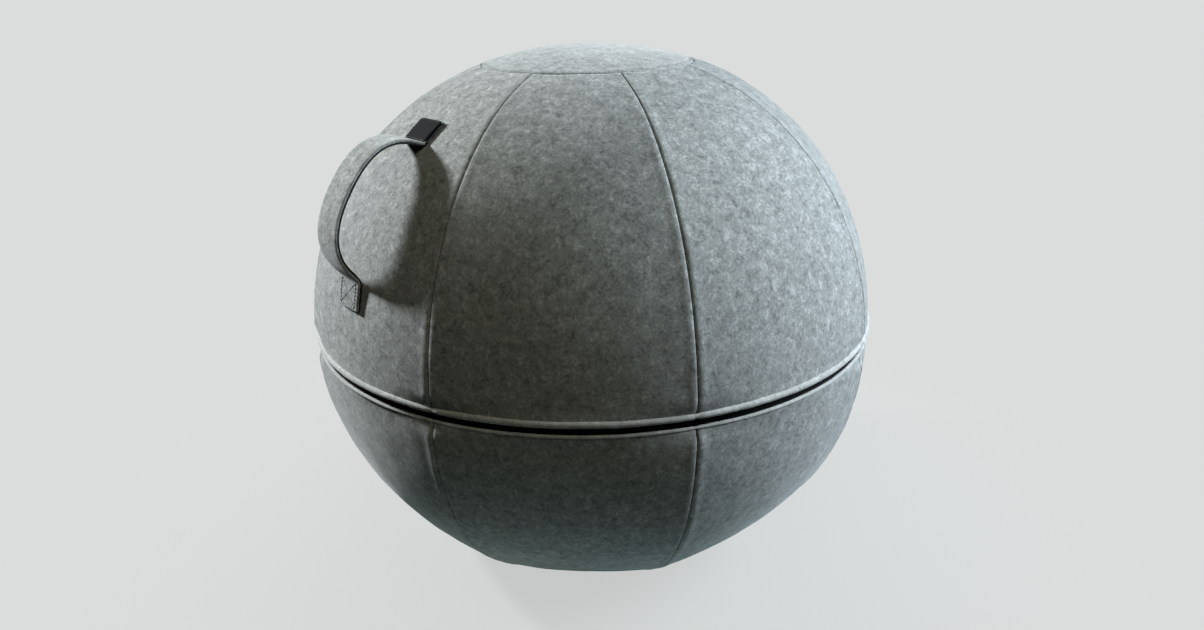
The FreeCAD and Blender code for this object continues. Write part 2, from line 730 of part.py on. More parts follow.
grip_layer("handle_grip", FELT_LAYER)
grip_layer("handle_lining", LINING_LAYER)
for end in ("upper", "lower"):
    loop_frame, patch_frame = LOOP_FRAMES[end], PATCH_FRAMES[end]
    lining = fused(f"lining_{end}_layers", [
        patch_layer(f"lining_{end}_patch", LINING_PATCH, "strap_lining", patch_frame),
        root_layer(f"lining_{end}_root", LINING_LAYER, loop_frame)])
    lining = keep_where_it_is(f"lining_{end}_end", minus(f"lining_{end}_end", lining, under_lining))
    felt = fused(f"felt_{end}_layers", [
        patch_layer(f"felt_{end}_patch", FELT_PATCH, "0", patch_frame),
        root_layer(f"felt_{end}_root", FELT_LAYER, loop_frame)])
    felt = minus(f"felt_{end}_above_lining", felt, under_felt)
    keep_where_it_is(f"handle_{end}_end", minus(f"handle_{end}_end", felt, lining))

# Blank woven label on the upper end of the strap, and the sewing of both ends
PATCH_TOP = FELT_PATCH[1]
LABEL_TOP = f"{PATCH_TOP} + ply_gap + label"
label_body = new_body("label")
padded(label_body, "label_weave", "strap_width", lambda sketch: closed_outline(sketch, rectangle(
    "-1 * end_length / 2", f"{PATCH_TOP} + ply_gap", "label_length - end_length / 2", LABEL_TOP)),
    plane="XY_Plane")
label_body.Placement = PATCH_FRAMES["upper"]
keep_where_it_is("label", label_body)


def stitch_line(name, frame, start, end, height):
    """Row of stitches drawn as one thin bar between two points of a patch."""
    x_start, z_start, x_end, z_end = [measure(value) for value in (*start, *end)]
    length = math.hypot(x_end - x_start, z_end - z_start)
    bar = doc.addObject("Part::Box", name)
    bar.Length = length + size("stitch")
    bar.setExpression("Width", "Sizes.stitch_rise")
    bar.setExpression("Height", "Sizes.stitch")
    turn = -math.degrees(math.atan2(z_end - z_start, x_end - x_start))
    run = Placement(Vector(x_start, measure(height), z_start), Rotation(Vector(0, 1, 0), turn))
    corner = Placement(Vector(-size("stitch") / 2, 0, -size("stitch") / 2), Rotation())
    bar.Placement = frame.multiply(run).multiply(corner)
    return bar


def stitch_box(name, end, middle, half_x, half_z, height, crossed):
    corners = [(f"{middle} + {a} * ({half_x})", f"{b} * ({half_z})")
               for a, b in ((-1, -1), (1, -1), (1, 1), (-1, 1))]
    lines = [(corners[i], corners[(i + 1) % 4]) for i in range(4)]
    if crossed:
        lines += [(corners[0], corners[2]), (corners[1], corners[3])]
    return fused(name, [stitch_line(f"{name}_{i + 1}", PATCH_FRAMES[end], *line, height)
                        for i, line in enumerate(lines)])


stitched = doc.addObject("Part::Compound", "handle_stitching")
stitched.Links = [
    stitch_box("crossed_box", "lower", "0", "end_length / 2 - stitch_inset / 2",
               "strap_width / 2 - stitch_inset", PATCH_TOP, True),
    stitch_box("label_sewing", "upper", "(label_length - end_length) / 2", "label_length / 2 - label_inset",
               "strap_width / 2 - label_inset", LABEL_TOP, False)]
doc.recompute()
keep_where_it_is("handle_stitching", stitched)

# Check and write
for item in doc.Objects:
    if "Invalid" in item.State or "Error" in item.State:
        raise RuntimeError(f"{item.Label} did not recompute: {item.State}")
os.makedirs("parts", exist_ok=True)
for name, piece in nodes.items():
    shape = piece.Shape
    if shape.isNull() or not shape.isValid() or not shape.Solids:
        raise RuntimeError(f"{name} has no valid solid")
    shape.exportStep(f"parts/{name}.step")
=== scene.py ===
import math

import bmesh
import bpy
from mathutils import Matrix, Quaternion, Vector, noise


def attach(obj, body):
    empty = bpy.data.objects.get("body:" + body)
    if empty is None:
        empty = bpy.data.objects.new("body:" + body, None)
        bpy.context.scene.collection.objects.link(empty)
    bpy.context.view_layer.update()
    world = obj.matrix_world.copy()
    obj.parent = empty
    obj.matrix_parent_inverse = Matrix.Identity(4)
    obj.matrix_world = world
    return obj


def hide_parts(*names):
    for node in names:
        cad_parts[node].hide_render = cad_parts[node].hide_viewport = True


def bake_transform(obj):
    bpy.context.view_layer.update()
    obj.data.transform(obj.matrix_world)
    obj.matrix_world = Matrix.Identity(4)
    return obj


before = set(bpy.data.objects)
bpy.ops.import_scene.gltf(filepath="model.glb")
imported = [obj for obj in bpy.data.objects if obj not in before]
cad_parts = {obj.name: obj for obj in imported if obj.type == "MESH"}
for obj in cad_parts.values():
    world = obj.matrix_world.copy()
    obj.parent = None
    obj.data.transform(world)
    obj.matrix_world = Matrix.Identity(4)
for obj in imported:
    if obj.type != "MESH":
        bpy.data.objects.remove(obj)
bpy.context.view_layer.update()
scene = bpy.context.scene
scene.view_settings.view_transform = "Standard"
MM = 0.001

# Camera
# It stands a little higher than the ball, less than two ball widths from its middle, on the side
# that shows the handle at the left. The measures in the picture are in its own points.
belt_z = 278 * MM
camera_side = math.radians(-39.1)
camera_rise = math.radians(20.59)
camera_away = 1149.5 * MM
camera_roll = math.radians(-1.34)
camera_data = bpy.data.cameras.new("camera")
camera_data.sensor_width = 36.0
picture_width = 1204
picture_height = 630
view_centre = (593.2, 306.6)
focal_length = 931
camera_data.lens = camera_data.sensor_width * focal_length / picture_width
camera_data.shift_x = (picture_width / 2 - view_centre[0]) / picture_width
camera_data.shift_y = (view_centre[1] - picture_height / 2) / picture_width
camera_data.clip_start = 0.05
camera = bpy.data.objects.new("camera", camera_data)
outward = Vector((math.cos(camera_side) * math.cos(camera_rise),
                  math.sin(camera_side) * math.cos(camera_rise), math.sin(camera_rise)))
camera.location = Vector((0, 0, belt_z)) + outward * camera_away
camera.rotation_mode = "QUATERNION"
camera.rotation_quaternion = outward.to_track_quat("Z", "Y") @ Quaternion((0, 0, 1), camera_roll)
scene.collection.objects.link(camera)
scene.camera = camera


# Upper felt gores
# Eight gores of thick grey melange wool felt, each cut wide at the belt and narrow at the crown.
# They are sewn face to face and turned, so each edge rolls inwards into its seam and the felt
# lies flatter across a gore than the ball under it.
cover_radius = 325 * MM
cover_rise = 313 * MM
cover_drop = 301 * MM
fullness = 0.59
felt_thickness = 3 * MM
gore_count = 8
seam_gap = 0.5 * MM
gore_flatness = 0.26
seam_roll_width = 1.8 * MM
seam_roll_depth = 1.9 * MM
seam_puff = 0.6 * MM
puff_from_seam = 5 * MM
puff_width = 3.2 * MM
even_by_hem = 16 * MM
even_by_end = 60 * MM
crown_disc_radius = 119 * MM
lip = 3.6 * MM
hem_radius = 3.6 * MM


def cover_point(at, side=1, offset=0.0):
    """Point of the cover's profile in the XZ plane, from the belt (0) to the upright axis (1)."""
    wide = cover_radius + offset
    tall = (cover_rise if side > 0 else cover_drop) + offset
    rest = 1 - at
    across = wide * rest**3 + 3 * wide * rest**2 * at + 3 * fullness * wide * rest * at**2
    up = 3 * fullness * tall * rest**2 * at + 3 * tall * rest * at**2 + tall * at**3
    return Vector((across, 0, belt_z + side * up))


def profile_at(height=None, radius=None, side=1, offset=0.0):
    """Parameter where the profile reaches a height from the belt, or a radius."""
    low, high = 0.0, 1.0
    for _ in range(50):
        middle = (low + high) / 2
        point = cover_point(middle, side, offset)
        if height is not None:
            before = abs(point.z - belt_z) < height
        else:
            before = point.x > radius
        low, high = (middle, high) if before else (low, middle)
    return (low + high) / 2


def link(name, mesh_maker, material, smooth=True):
    """Closes a bmesh into an object at the origin."""
    mesh = bpy.data.meshes.new(name)
    mesh_maker.normal_update()
    mesh_maker.to_mesh(mesh)
    mesh_maker.free()
    mesh.materials.append(material)
    mesh.polygons.foreach_set("use_smooth", [smooth] * len(mesh.polygons))
    piece = bpy.data.objects.new(name, mesh)
    scene.collection.objects.link(piece)
    return piece


def face_outwards(mesh_maker):
    """Turns the faces of a surface away from the middle of the ball."""
    bmesh.ops.recalc_face_normals(mesh_maker, faces=mesh_maker.faces)
    mesh_maker.faces.ensure_lookup_table()
    first = mesh_maker.faces[0]
    if first.normal.dot(first.calc_center_median() - Vector((0, 0, belt_z))) < 0:
        bmesh.ops.reverse_faces(mesh_maker, faces=mesh_maker.faces)


def thicken(piece, label, thickness, offset):
    """Gives a surface its thickness: inwards (-1), to both sides (0) or outwards (1)."""
    wall = piece.modifiers.new(label, "SOLIDIFY")
    wall.thickness = thickness
    wall.offset = offset


def dress(node, material):
    """Gives a solid of the frame its material."""
    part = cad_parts[node]
    part.data.materials.clear()
    part.data.materials.append(material)


def new_material(name, roughness=0.8, sheen=0.0):
    material = bpy.data.materials.new(name)
    material.use_nodes = True
    shader = material.node_tree.nodes["Principled BSDF"]
    shader.inputs["Roughness"].default_value = roughness
    shader.inputs["Sheen Weight"].default_value = sheen
    shader.inputs["Sheen Roughness"].default_value = 0.4
    return material, material.node_tree, shader


def effect_group(name, inputs, outputs):
    """Node group with named number, colour or vector sockets."""
    group = bpy.data.node_groups.new(name, "ShaderNodeTree")
    kinds = {"number": "NodeSocketFloat", "colour": "NodeSocketColor", "vector": "NodeSocketVector"}
    for label, kind, value in inputs:
        socket = group.interface.new_socket(name=label, in_out="INPUT", socket_type=kinds[kind])
        if value is not None:
            socket.default_value = value
    for label, kind in outputs:
        group.interface.new_socket(name=label, in_out="OUTPUT", socket_type=kinds[kind])
    return group, group.nodes.new("NodeGroupInput"), group.nodes.new("NodeGroupOutput")


def add_node(tree, kind, inputs=(), **settings):
    """Adds a node, sets its properties, and gives or links its inputs."""
    node = tree.nodes.new(kind)
    for key, value in settings.items():
        setattr(node, key, value)
    for key, value in dict(inputs).items():
        if isinstance(value, bpy.types.NodeSocket):
            tree.links.new(value, node.inputs[key])
        else:
            node.inputs[key].default_value = value
    return node


# the felt's mottling: wool of two greys carded together, with loose hairs lying over each other
melange, given, out = effect_group(
    "melange_felt",
    [("Vector", "vector", None), ("Dark", "colour", (0.1, 0.1, 0.1, 1)),
     ("Middle", "colour", (0.25, 0.25, 0.25, 1)), ("Light", "colour", (0.5, 0.5, 0.5, 1))],
    [("Color", "colour"), ("Height", "number")])
clouds = add_node(melange, "ShaderNodeTexNoise", {
    "Vector": given.outputs["Vector"], "Scale": 105, "Detail": 3, "Roughness": 0.62, "Distortion": 0.6})
flecks = add_node(melange, "ShaderNodeTexNoise", {
    "Vector": given.outputs["Vector"], "Scale": 330, "Detail": 3, "Roughness": 0.7, "Distortion": 0.4})
hair_masks = []
for turn, stretch in (((0.5, 0.2, 0.3), (120, 1500, 1500)), ((0.3, 0.9, 1.2), (1500, 130, 1500)),
                      ((1.1, 0.4, 2.2), (1500, 1500, 110))):
    laid = add_node(melange, "ShaderNodeMapping", {"Vector": given.outputs["Vector"], "Rotation": turn})
    combed = add_node(melange, "ShaderNodeVectorMath", {0: laid.outputs["Vector"], 1: stretch},
                      operation="MULTIPLY")
    hairs = add_node(melange, "ShaderNodeTexNoise", {
        "Vector": combed.outputs["Vector"], "Scale": 1.0, "Detail": 1, "Roughness": 0.5,
        "Distortion": 0.8})
    hair_masks.append(hairs.outputs["Fac"])
two_hairs = add_node(melange, "ShaderNodeMath", {0: hair_masks[0], 1: hair_masks[1]}, operation="ADD")
hair_sum = add_node(melange, "ShaderNodeMath", {
    0: two_hairs.outputs[0], 1: hair_masks[2]}, operation="ADD")
hair_mean = add_node(melange, "ShaderNodeMath", {0: hair_sum.outputs[0], 1: 1 / 3}, operation="MULTIPLY")
cloud_share = add_node(melange, "ShaderNodeMath", {
    0: clouds.outputs["Fac"], 1: 0.34}, operation="MULTIPLY")
fleck_share = add_node(melange, "ShaderNodeMath", {
    0: flecks.outputs["Fac"], 1: 0.36, 2: cloud_share.outputs[0]}, operation="MULTIPLY_ADD")
mixed = add_node(melange, "ShaderNodeMath", {
    0: hair_mean.outputs[0], 1: 0.30, 2: fleck_share.outputs[0]}, operation="MULTIPLY_ADD")
dark_part = add_node(melange, "ShaderNodeMapRange", {
    "Value": mixed.outputs[0], "From Min": 0.39, "From Max": 0.5}, interpolation_type="SMOOTHSTEP")
light_part = add_node(melange, "ShaderNodeMapRange", {
    "Value": mixed.outputs[0], "From Min": 0.5, "From Max": 0.62}, interpolation_type="SMOOTHSTEP")
lower_tone = add_node(melange, "ShaderNodeMix", {
    0: dark_part.outputs[0], 6: given.outputs["Dark"], 7: given.outputs["Middle"]}, data_type="RGBA")
full_tone = add_node(melange, "ShaderNodeMix", {
    0: light_part.outputs[0], 6: lower_tone.outputs[2], 7: given.outputs["Light"]}, data_type="RGBA")
fuzz = add_node(melange, "ShaderNodeTexNoise", {
    "Vector": given.outputs["Vector"], "Scale": 900, "Detail": 2, "Roughness": 0.6})
pile_height = add_node(melange, "ShaderNodeMath", {
    0: fuzz.outputs["Fac"], 1: hair_mean.outputs[0]}, operation="ADD")
melange.links.new(full_tone.outputs[2], out.inputs["Color"])
melange.links.new(pile_height.outputs[0], out.inputs["Height"])


def felt_material(name, dark, middle, light, bump=0.35):
    material, tree, shader = new_material(name, roughness=0.95, sheen=0.25)
    place = tree.nodes.new("ShaderNodeTexCoord")
    wool = add_node(tree, "ShaderNodeGroup", {}, node_tree=melange)
    wool.inputs["Dark"].default_value = (*dark, 1)
    wool.inputs["Middle"].default_value = (*middle, 1)
    wool.inputs["Light"].default_value = (*light, 1)
    tree.links.new(place.outputs["Object"], wool.inputs["Vector"])
    tree.links.new(wool.outputs["Color"], shader.inputs["Base Color"])
    pile = add_node(tree, "ShaderNodeBump", {
        "Strength": bump, "Distance": 0.0006, "Height": wool.outputs["Height"]})
    tree.links.new(pile.outputs["Normal"], shader.inputs["Normal"])
    return material


felt = felt_material("grey_melange_felt", (0.155, 0.165, 0.162), (0.31, 0.325, 0.32), (0.55, 0.57, 0.57))


def shape_gore(maker, turn, inner_radius, hem_height):
    """Flattens a gore across, rolls its edges into the seams and turns it to its place."""
    half = math.pi / gore_count
    for vertex in maker.verts:
        radius = math.hypot(vertex.co.x, vertex.co.y)
        share = math.atan2(vertex.co.y, vertex.co.x) / half
        share = math.copysign(1 - (1 - min(abs(share), 1.0))**1.9, share)
        edge_angle = half - seam_gap / 2 / radius
        angle = share * edge_angle
        to_seam = max((1 - abs(share)) * edge_angle * radius, 0.0)
        height = vertex.co.z - belt_z
        level = Vector((vertex.co.x, vertex.co.y, height * (cover_radius / cover_rise)**2)).normalized()
        normal = Vector((math.hypot(level.x, level.y), 0, level.z))
        from_hem = max(abs(height) - hem_height, 0.0)
        hem_free = min(from_hem / even_by_hem, 1.0)
        hem_free = hem_free * hem_free * (3 - 2 * hem_free)
        to_end = abs(radius - inner_radius)
        end_free = min(to_end / even_by_end, 1.0)
        sag = radius * (1 - math.cos(half)) * gore_flatness * hem_free * end_free
        push = sag * (share * share - 0.3)
        if to_seam < seam_roll_width:
            roll = 1 - to_seam / seam_roll_width
            push -= seam_roll_depth * (1 - math.sqrt(max(1 - roll * roll, 0.0)))
        push += seam_puff * hem_free * math.exp(-((to_seam - puff_from_seam) / puff_width)**2)
        if to_end < seam_roll_width:
            roll = 1 - to_end / seam_roll_width
            push -= seam_roll_depth * 0.8 * (1 - math.sqrt(max(1 - roll * roll, 0.0)))
        here = Vector((math.cos(turn + angle) * radius, math.sin(turn + angle) * radius, vertex.co.z))
        pull = noise.noise(here * 28) * 0.5 + noise.noise(here * 75) * 0.22
        tug = math.exp(-to_seam / (14 * MM)) * noise.noise(Vector((here.z * 160, turn * 7, 3.1))) * 0.4
        push += (pull + tug) * MM * min(to_seam / (2 * MM), 1.0)
        moved = Vector((radius, 0, vertex.co.z)) + normal * push
        vertex.co = Matrix.Rotation(turn + angle, 3, "Z") @ moved


def felt_gore(name, side, turn, inner_radius, hem_height):
    """One gore: its profile spun through an eighth of a turn, then given its thickness."""
    maker = bmesh.new()
    start = profile_at(height=hem_height, side=side)
    end = profile_at(radius=inner_radius + seam_gap / 2, side=side)
    rows = 96
    columns = 46
    path = []
    for row in range(rows + 1):
        share = row / rows
        if share > 0.9:
            share = 1 - (1 - share)**1.5 / 0.1**0.5
        path.append(maker.verts.new(cover_point(start + (end - start) * share, side)))
    edges = [maker.edges.new((path[row], path[row + 1])) for row in range(rows)]
    wedge = math.pi / gore_count
    bmesh.ops.rotate(maker, cent=(0, 0, 0), matrix=Matrix.Rotation(-wedge, 3, "Z"), verts=maker.verts)
    bmesh.ops.spin(maker, geom=path + edges, cent=(0, 0, 0), axis=(0, 0, 1), angle=2 * wedge,
                   steps=columns)
    shape_gore(maker, turn, inner_radius, hem_height)
    face_outwards(maker)
    piece = link(name, maker, felt)
    thicken(piece, "felt", felt_thickness, -1)
    return piece


for number in range(gore_count):
    gore_turn = math.radians(-90) + number * 2 * math.pi / gore_count
    gore = felt_gore(f"upper_gore_{number + 1}", 1, gore_turn, crown_disc_radius, lip + hem_radius)
    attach(gore, "top_cover")
    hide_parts(f"upper_panel_{number + 1}")


# Lower felt gores
# The lower half is cut like the upper one, but its gores end at the flat round panel that the
# chair stands on. Their upper edge is turned in once and stands as a thin bead below the zip.
base_disc_radius = cover_point(profile_at(height=belt_z, side=-1), -1).x
bead_radius = 1.9 * MM
for number in range(gore_count):
    gore_turn = math.radians(-90) + number * 2 * math.pi / gore_count
    gore = felt_gore(f"lower_gore_{number + 1}", -1, gore_turn, base_disc_radius, lip + bead_radius)
    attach(gore, "base_cover")
    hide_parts(f"lower_panel_{number + 1}")

# Crown disc
# A round panel of the same felt closes the top. Its edge is turned down into the ring seam.
maker = bmesh.new()
disc_edge = profile_at(radius=crown_disc_radius - seam_gap / 2)
rows = 46
path = []
for row in range(rows + 1):
    share = (row / rows)**1.6
    path.append(maker.verts.new(cover_point(disc_edge + (1 - disc_edge) * share)))
edges = [maker.edges.new((path[row], path[row + 1])) for row in range(rows)]
bmesh.ops.spin(maker, geom=path + edges, cent=(0, 0, 0), axis=(0, 0, 1), angle=2 * math.pi,
               steps=128, use_merge=True)
bmesh.ops.remove_doubles(maker, verts=maker.verts, dist=1e-6)
for vertex in maker.verts:
    to_seam = crown_disc_radius - seam_gap / 2 - math.hypot(vertex.co.x, vertex.co.y)
    lift = noise.noise(vertex.co * 30) * 0.5 * MM
    lift += seam_puff * 0.8 * math.exp(-((to_seam - puff_from_seam) / (3.5 * MM))**2)
    if to_seam < seam_roll_width:
        roll = min(1 - to_seam / seam_roll_width, 1.0)
        lift -= seam_roll_depth * (1 - math.sqrt(1 - roll * roll))
    vertex.co.z += lift
face_outwards(maker)
crown_disc = link("crown_disc", maker, felt)
thicken(crown_disc, "felt", felt_thickness, -1)
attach(crown_disc, "top_cover")
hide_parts("top_disc")

# Rolled hem over the zip
# The lower edge of the upper half is folded outwards over a cord and sewn, so a round welt of
# the same felt stands proud all the way round and hides the zip from above. Its felt is painted
# lighter than the gores': a painted highlight for the top light that the welt's upper side catches.
# Where a seam runs into it the welt is nipped. The lower half ends in a thinner lip of the same
# felt, painted just as light.
hem_felt_painted_highlight = felt_material("hem_felt_painted_highlight", (0.31, 0.32, 0.315), (0.46, 0.47, 0.46), (0.64, 0.65, 0.64),
                         bump=0.25)


def tube_ring(radius_in_cover, height, section, sides, steps, tall=1.0):
    """A round tube spun about the upright axis."""
    maker = bmesh.new()
    bmesh.ops.create_circle(maker, cap_ends=False, segments=sides, radius=section)
    upright = Matrix.Rotation(math.pi / 2, 3, "X")
    bmesh.ops.rotate(maker, cent=(0, 0, 0), matrix=upright, verts=maker.verts)
    bmesh.ops.scale(maker, vec=(1, 1, tall), verts=maker.verts)
    bmesh.ops.translate(maker, vec=(radius_in_cover, 0, height), verts=maker.verts)
    bmesh.ops.spin(maker, geom=list(maker.verts) + list(maker.edges), cent=(0, 0, 0), axis=(0, 0, 1),
                   angle=2 * math.pi, steps=steps, use_merge=True)
    bmesh.ops.remove_doubles(maker, verts=maker.verts, dist=1e-6)
    return maker


def welt(name, radius_in_cover, height, section, tall, body, material, nip):
    """A ring of folded felt, nipped where it crosses the gore seams."""
    maker = tube_ring(radius_in_cover, height, section, 16, 512, tall)
    step = 2 * math.pi / gore_count
    for vertex in maker.verts:
        angle = math.atan2(vertex.co.y, vertex.co.x)
        off = (angle + math.pi / 2 + step) % step - step / 2
        distance = abs(off) * radius_in_cover
        nipped = nip * math.exp(-(distance / (1.6 * MM))**2)
        ring = Vector((math.cos(angle) * radius_in_cover, math.sin(angle) * radius_in_cover, height))
        away = vertex.co - ring
        swell = 1 - nipped + 0.05 * noise.noise(Vector((angle * 60, height * 100, 1.7)))
        vertex.co = ring + away * swell
        vertex.co.z += 0.25 * MM * noise.noise(Vector((angle * 9, 0.4, height * 50)))
    bmesh.ops.recalc_face_normals(maker, faces=maker.faces)
    piece = link(name, maker, material)
    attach(piece, body)


# both welts use the lighter felt: a painted highlight on their tops
welt("rolled_hem", cover_radius - 0.7 * MM, belt_z + lip + hem_radius, hem_radius, 0.96,
     "top_cover", hem_felt_painted_highlight, 0.3)
welt("lower_lip", cover_radius - 0.9 * MM, belt_z - lip - bead_radius + 0.25 * MM, bead_radius, 1.0,
     "base_cover", hem_felt_painted_highlight, 0.25)

# Base panel
# A flat round panel of hard-wearing black-grey cloth, sewn in under the ball, rests on the floor.
maker = bmesh.new()
bmesh.ops.create_circle(maker, cap_ends=True, segments=128, radius=base_disc_radius - seam_gap / 2)
bottom = list(maker.faces)
for _ in range(3):
    bmesh.ops.inset_individual(maker, faces=bottom, thickness=2.5 * MM, use_even_offset=True)
made = bmesh.ops.extrude_face_region(maker, geom=list(maker.faces))
top_ring = [item for item in made["geom"] if isinstance(item, bmesh.types.BMVert)]
bmesh.ops.translate(maker, vec=(0, 0, felt_thickness), verts=top_ring)
bmesh.ops.recalc_face_normals(maker, faces=maker.faces)
rim = [edge for edge in maker.edges if edge.calc_face_angle(0) > 1.0]
bmesh.ops.bevel(maker, geom=rim, offset=0.9 * MM, segments=3, profile=0.5, affect="EDGES", material=-1)

weave, given, out = effect_group(
    "plain_weave",
    [("Vector", "vector", None), ("Threads", "number", 900.0)],
    [("Height", "number"), ("Mask", "number")])
scaled = add_node(weave, "ShaderNodeVectorMath", {0: given.outputs["Vector"]}, operation="SCALE")
weave.links.new(given.outputs["Threads"], scaled.inputs["Scale"])
parts = add_node(weave, "ShaderNodeSeparateXYZ", {0: scaled.outputs[0]})
waves = []
for axis in ("X", "Y", "Z"):
    wave = add_node(weave, "ShaderNodeMath", {0: parts.outputs[axis], 1: math.pi}, operation="MULTIPLY")
    wave = add_node(weave, "ShaderNodeMath", {0: wave.outputs[0]}, operation="SINE")
    waves.append(wave.outputs[0])
crossed = add_node(weave, "ShaderNodeMath", {0: waves[0], 1: waves[1]}, operation="MULTIPLY")
raised = add_node(weave, "ShaderNodeMath", {
    0: waves[2], 1: 0.6, 2: crossed.outputs[0]}, operation="MULTIPLY_ADD")
# the hollows between the threads are painted darker than their crowns: painted shade
hollow_shade_mask = add_node(weave, "ShaderNodeMapRange", {
    "Value": raised.outputs[0], "From Min": -0.8, "From Max": 0.8})
weave.links.new(raised.outputs[0], out.inputs["Height"])
weave.links.new(hollow_shade_mask.outputs[0], out.inputs["Mask"])


def two_tones(tree, source, dark, light):
    """Colour between two tones, by a value from 0 to 1."""
    ramp = add_node(tree, "ShaderNodeValToRGB", {"Fac": source})
    ramp.color_ramp.elements[0].color = (*dark, 1)
    ramp.color_ramp.elements[1].color = (*light, 1)
    return ramp.outputs["Color"]


def woven_material(name, dark, light, threads, bump=0.4, sheen=0.1, roughness=0.85):
    material, tree, shader = new_material(name, roughness=roughness, sheen=sheen)
    place = tree.nodes.new("ShaderNodeTexCoord")
    cloth = add_node(tree, "ShaderNodeGroup", {}, node_tree=weave)
    cloth.inputs["Threads"].default_value = threads
    tree.links.new(place.outputs["Object"], cloth.inputs["Vector"])
    dust = add_node(tree, "ShaderNodeTexNoise", {
        "Vector": place.outputs["Object"], "Scale": 60, "Detail": 3})
    # the cloth's colour: painted shade in the weave's hollows, times a random tone from the dust noise
    tone = add_node(tree, "ShaderNodeMath", {
        0: cloth.outputs["Mask"], 1: dust.outputs["Fac"]}, operation="MULTIPLY")
    tree.links.new(two_tones(tree, tone.outputs[0], dark, light), shader.inputs["Base Color"])
    cords = add_node(tree, "ShaderNodeBump", {
        "Strength": bump, "Distance": 0.0004, "Height": cloth.outputs["Height"]})
    tree.links.new(cords.outputs["Normal"], shader.inputs["Normal"])
    return material


base_cloth = woven_material("base_cloth", (0.012, 0.013, 0.013), (0.06, 0.063, 0.063), 620)
base_panel = link("base_panel", maker, base_cloth)
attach(base_panel, "base_cover")
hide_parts("base_disc")

# Carrying handle
# A strap of the same felt, 40 mm wide, arched over a gore as a grip, lined with dark webbing
# that shows along both edges. Its two ends are pressed into the gore and sewn down.
strap_width = 40 * MM
strap_felt = 2.6 * MM
strap_lining = 2.2 * MM
ply_gap = 0.1 * MM
loop_chord = 147 * MM
loop_rise = 52 * MM
loop_fullness = 0.65
loop_lean = 4 * MM
end_length = 31 * MM
handle_top = 233 * MM
end_sink = 3.0 * MM


def beside_handle(at, offset):
    """Point of the gore's middle line, as (distance from the axis, height from the belt)."""
    below = cover_point(max(at - 1e-4, 0.0))
    above = cover_point(at + 1e-4)
    along = (above - below).normalized()
    here = cover_point(at)
    return Vector((here.x + along.z * offset, here.z - belt_z - along.x * offset))


top_at = profile_at(height=handle_top)
upper_end = beside_handle(top_at, 0)
foot_at = top_at
while (beside_handle(foot_at, 0) - upper_end).length < loop_chord:
    foot_at -= 0.0002
lower_end = beside_handle(foot_at, 0)
down = (lower_end - upper_end).normalized()
out_of_chord = Vector((-down.y, down.x))


def strap_path(offset, clearance):
    """The strap's line from its upper sewn end over the arch to its lower sewn end."""
    pressed = clearance - end_sink
    points = []
    up_at, reach = top_at, 0.0
    while reach < end_length:
        up_at += 0.0004
        reach = (beside_handle(up_at, 0) - upper_end).length
    for step in range(13):
        points.append(beside_handle(up_at + (top_at - up_at) * step / 12, pressed))
    arch = [Vector((-offset, 0)), Vector((loop_lean - offset, loop_fullness * loop_rise)),
            Vector((loop_chord / 2 - loop_fullness * (loop_chord / 2 + offset), loop_rise + offset)),
            Vector((loop_chord / 2, loop_rise + offset))]
    half = []
    for step in range(1, 25):
        at = step / 24
        rest = 1 - at
        near_end = arch[0] * rest**3 + arch[1] * 3 * rest**2 * at
        half.append(near_end + arch[2] * 3 * rest * at**2 + arch[3] * at**3)
    loop = [point for point in half if point.y > 7 * MM]
    loop += [Vector((loop_chord - point.x, point.y)) for point in loop[-2::-1]]
    points += [upper_end + down * point.x + out_of_chord * point.y for point in loop]
    down_at = foot_at
    reach = 0.0
    while reach < end_length:
        down_at -= 0.0004
        reach = (beside_handle(down_at, 0) - lower_end).length
    for step in range(13):
        share = step / 12
        pressed = clearance - end_sink * share**0.7
        points.append(beside_handle(foot_at + (down_at - foot_at) * share, pressed))
    return points


def strap_layer(name, offset, clearance, thickness, material, width, wander):
    """A ply of the strap: its line laid out, eased at the bends, and drawn across its width."""
    maker = bmesh.new()
    line = [maker.verts.new((0, -point.x, point.y + belt_z)) for point in strap_path(offset, clearance)]
    edges = [maker.edges.new((line[i], line[i + 1])) for i in range(len(line) - 1)]
    bmesh.ops.subdivide_edges(maker, edges=edges, cuts=1)
    maker.verts.ensure_lookup_table()
    ends = [vertex for vertex in maker.verts if len(vertex.link_edges) == 1]
    for _ in range(5):
        bmesh.ops.smooth_vert(maker, verts=[v for v in maker.verts if v not in ends], factor=0.5,
                              use_axis_x=True, use_axis_y=True, use_axis_z=True)
    bmesh.ops.translate(maker, vec=(-width / 2, 0, 0), verts=maker.verts)
    columns = 14
    front = list(maker.edges)
    for _ in range(columns):
        made = bmesh.ops.extrude_edge_only(maker, edges=front)
        moved = [item for item in made["geom"] if isinstance(item, bmesh.types.BMVert)]
        front = [item for item in made["geom"] if isinstance(item, bmesh.types.BMEdge)]
        bmesh.ops.translate(maker, vec=(width / columns, 0, 0), verts=moved)
        front = [edge for edge in front if abs(edge.verts[0].co.x - edge.verts[1].co.x) < 1e-7]
    for vertex in maker.verts:
        curl = (vertex.co.x / (width / 2))**2
        vertex.co.y += wander * noise.noise(vertex.co * 40) * MM
        vertex.co.x *= 1 + 0.006 * noise.noise(Vector((0, vertex.co.z * 60, 2)))
        vertex.co.y += 0.5 * MM * curl * (1 if vertex.co.y < 0 else -1)
    bmesh.ops.recalc_face_normals(maker, faces=maker.faces)
    maker.faces.ensure_lookup_table()
    middle = min(maker.faces, key=lambda face: face.calc_center_median().y)
    if middle.normal.y > 0:
        bmesh.ops.reverse_faces(maker, faces=maker.faces)
    piece = link(name, maker, material)
    thicken(piece, "ply", thickness, 1)
    rounding = piece.modifiers.new("edge", "BEVEL")
    rounding.width = 0.7 * MM
    rounding.segments = 2
    rounding.limit_method = "ANGLE"
    return piece


